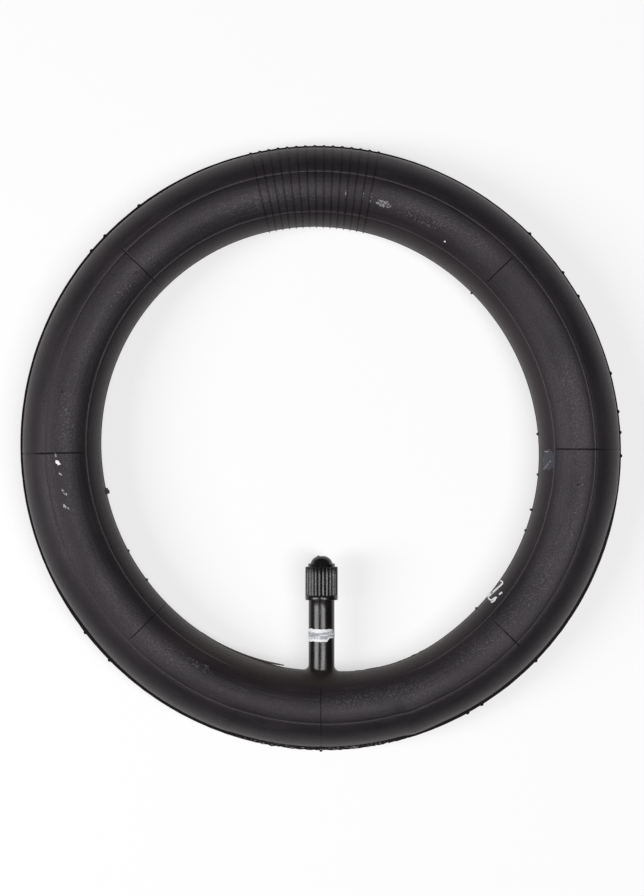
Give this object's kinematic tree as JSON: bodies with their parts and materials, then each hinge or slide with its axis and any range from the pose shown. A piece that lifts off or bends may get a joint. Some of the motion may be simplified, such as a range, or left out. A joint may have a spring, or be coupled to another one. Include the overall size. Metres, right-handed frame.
{
  "type": "inner tube",
  "caption": "Small inflated butyl inner tube lying flat, with a straight rubber-covered air valve inside the ring, a sprung valve core and a screw-on fluted dust cap.",
  "frame": {"origin": "centre of the ring, on the plane the tube lies on", "axes": "+Z is the ring's axis, upwards from the plane it lies on; +Y runs from the valve's root along the valve to the ring's centre; +X completes the right-handed frame"},
  "size_m": [0.191, 0.191, 0.0254],
  "materials": {
    "butyl": "matte",
    "valve_rubber": "satin",
    "seal": "matte",
    "brass": "turned",
    "spring_steel": "bright",
    "cap_plastic": "satin"
  },
  "bodies": {
    "tube": {"rubber_tube": "butyl", "valve_rubber": "valve_rubber", "valve_stem": "brass", "core_plug": "brass", "core_barrel": "brass", "core_packing": "seal", "core_spring": "spring_steel"},
    "pin": {"core_pin": "brass", "spring_retainer": "brass", "pin_cup": "brass", "cup_seal": "seal"},
    "washer": {"cap_washer": "seal"},
    "cap": {"dust_cap": "cap_plastic"}
  },
  "joints": [
    {"name": "cap_lift", "type": "slide", "parent": "tube", "child": "washer", "axis": [0, 1, 0], "range_m": [0, 0.01115]},
    {"name": "cap_turn", "type": "hinge", "parent": "washer", "child": "cap", "pos_m": [0, -0.0382, 0.01245], "axis": [0, 1, 0], "range_deg": [0, 5040]},
    {"name": "pin_press", "type": "slide", "parent": "tube", "child": "pin", "axis": [0, -1, 0], "range_m": [0, 0.0015], "stiffness_N_per_m": 300, "springref_m": -0.003, "deforming": ["core_spring"]}
  ],
  "couplings": [
    {"joint": "cap_lift", "follows": "cap_turn", "m_per_rad": 0.00012633}
  ]
}
